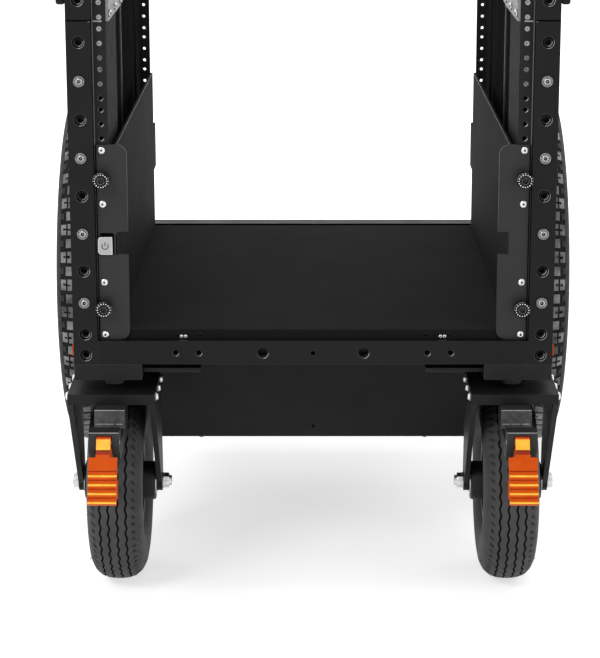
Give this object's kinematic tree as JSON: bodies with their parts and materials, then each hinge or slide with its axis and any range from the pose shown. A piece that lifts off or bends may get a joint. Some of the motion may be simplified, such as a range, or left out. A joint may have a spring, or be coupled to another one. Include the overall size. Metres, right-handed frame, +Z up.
{
  "type": "wheeled computer holder",
  "caption": "Wheeled black rack frame that carries a desktop computer on its side between rack ears, with braked swivel casters and large rear wheels.",
  "frame": {"origin": "on the floor below the middle of the whole cart", "axes": "+Z up, +Y from the front with the casters to the back with the large wheels, +X to the right of someone who faces the front"},
  "size_m": [0.671, 1.0202, 0.731],
  "materials": {
    "black_aluminium": "black anodised, satin",
    "black_sheet": "black powder coat, fine texture",
    "black_steel": "black powder coat on steel",
    "bright_screws": "bright zinc-plated steel",
    "bright_plate": "clear anodised",
    "black_knob": "black oxide, knurled",
    "button_silver": "bead-blasted, clear anodised",
    "orange_cast": "orange anodised",
    "tyre": "moulded rubber, matt",
    "black_plastic": "moulded, satin",
    "spoke_steel": "black steel"
  },
  "bodies": {
    "chassis": {"front_left_post": "black_aluminium", "front_right_post": "black_aluminium", "rear_posts": "black_aluminium", "front_base_beam": "black_aluminium", "base_beams": "black_aluminium", "top_beams": "black_aluminium", "top_corner_blocks": "black_aluminium", "outer_side_rails": "black_aluminium", "side_panels": "black_sheet", "post_bolts": "bright_screws", "front_left_rack_rail": "black_steel", "front_right_rack_rail": "black_steel", "rear_rack_rails": "black_steel", "splice_plates": "bright_plate", "left_ear": "black_sheet", "right_ear": "black_sheet", "cradle_tray": "black_sheet", "cradle_sides": "black_sheet", "cradle_rear_brackets": "black_sheet", "ear_screws": "bright_screws", "belly_box": "black_sheet", "belly_front_panel": "black_sheet", "small_screws": "bright_screws", "caster_mounts": "black_steel", "rear_axle_plates": "black_steel", "rear_axles": "bright_screws", "rear_axle_fasteners": "bright_screws", "brake_lever_brackets": "black_steel"},
    "left_caster": {"left_fork_plate": "black_steel", "left_fork_legs": "black_steel", "left_swivel_bearing": "black_steel", "left_caster_axle": "bright_screws", "left_caster_fasteners": "bright_screws", "left_brake_housing": "black_plastic"},
    "left_caster_wheel": {"left_caster_rim": "black_plastic", "left_caster_tyre": "tyre"},
    "left_pedal": {"left_brake_pedal": "orange_cast"},
    "left_rear_wheel": {"left_rear_hub": "spoke_steel", "left_rear_rim": "black_plastic", "left_rear_tyre": "tyre"},
    "left_hand_brake": {"left_brake_lever": "orange_cast"},
    "left_lower_thumbscrew_knob": {"left_lower_thumbscrew": "black_knob"},
    "left_upper_thumbscrew_knob": {"left_upper_thumbscrew": "black_knob"},
    "right_caster": {"right_fork_plate": "black_steel", "right_fork_legs": "black_steel", "right_swivel_bearing": "black_steel", "right_caster_axle": "bright_screws", "right_caster_fasteners": "bright_screws", "right_brake_housing": "black_plastic"},
    "right_caster_wheel": {"right_caster_rim": "black_plastic", "right_caster_tyre": "tyre"},
    "right_pedal": {"right_brake_pedal": "orange_cast"},
    "right_rear_wheel": {"right_rear_hub": "spoke_steel", "right_rear_rim": "black_plastic", "right_rear_tyre": "tyre"},
    "right_hand_brake": {"right_brake_lever": "orange_cast"},
    "right_lower_thumbscrew_knob": {"right_lower_thumbscrew": "black_knob"},
    "right_upper_thumbscrew_knob": {"right_upper_thumbscrew": "black_knob"},
    "button": {"power_button": "button_silver"}
  },
  "joints": [
    {"name": "left_caster_swivel", "type": "hinge", "parent": "chassis", "child": "left_caster", "pos_m": [-0.2265, -0.33288, 0.2645], "axis": [0, 0, 1], "continuous": true},
    {"name": "left_caster_roll", "type": "hinge", "parent": "left_caster", "child": "left_caster_wheel", "pos_m": [-0.2265, -0.28188, 0.1145], "axis": [1, 0, 0], "continuous": true},
    {"name": "left_pedal_press", "type": "hinge", "parent": "left_caster", "child": "left_pedal", "pos_m": [-0.2265, -0.46488, 0.222], "axis": [1, 0, 0], "range_deg": [0, 7.5]},
    {"name": "left_rear_wheel_roll", "type": "hinge", "parent": "chassis", "child": "left_rear_wheel", "pos_m": [-0.31, 0.26012, 0.25], "axis": [1, 0, 0], "continuous": true},
    {"name": "left_hand_brake_pull", "type": "hinge", "parent": "chassis", "child": "left_hand_brake", "pos_m": [-0.279, -0.07288, 0.256], "axis": [1, 0, 0], "range_deg": [0, 15]},
    {"name": "left_lower_thumbscrew_turn", "type": "hinge", "parent": "chassis", "child": "left_lower_thumbscrew_knob", "pos_m": [-0.23255, -0.36288, 0.34773], "axis": [0, 1, 0], "continuous": true},
    {"name": "left_upper_thumbscrew_turn", "type": "hinge", "parent": "chassis", "child": "left_upper_thumbscrew_knob", "pos_m": [-0.23255, -0.36288, 0.49378], "axis": [0, 1, 0], "continuous": true},
    {"name": "right_caster_swivel", "type": "hinge", "parent": "chassis", "child": "right_caster", "pos_m": [0.2265, -0.33288, 0.2645], "axis": [0, 0, 1], "continuous": true},
    {"name": "right_caster_roll", "type": "hinge", "parent": "right_caster", "child": "right_caster_wheel", "pos_m": [0.2265, -0.28188, 0.1145], "axis": [1, 0, 0], "continuous": true},
    {"name": "right_pedal_press", "type": "hinge", "parent": "right_caster", "child": "right_pedal", "pos_m": [0.2265, -0.46488, 0.222], "axis": [1, 0, 0], "range_deg": [0, 7.5]},
    {"name": "right_rear_wheel_roll", "type": "hinge", "parent": "chassis", "child": "right_rear_wheel", "pos_m": [0.31, 0.26012, 0.25], "axis": [1, 0, 0], "continuous": true},
    {"name": "right_hand_brake_pull", "type": "hinge", "parent": "chassis", "child": "right_hand_brake", "pos_m": [0.279, -0.07288, 0.256], "axis": [1, 0, 0], "range_deg": [0, 15]},
    {"name": "right_lower_thumbscrew_turn", "type": "hinge", "parent": "chassis", "child": "right_lower_thumbscrew_knob", "pos_m": [0.23255, -0.36288, 0.34773], "axis": [0, 1, 0], "continuous": true},
    {"name": "right_upper_thumbscrew_turn", "type": "hinge", "parent": "chassis", "child": "right_upper_thumbscrew_knob", "pos_m": [0.23255, -0.36288, 0.49378], "axis": [0, 1, 0], "continuous": true},
    {"name": "power_button_push", "type": "slide", "parent": "chassis", "child": "button", "axis": [0, 1, 0], "range_m": [0, 0.0012], "stiffness_N_per_m": 300}
  ]
}
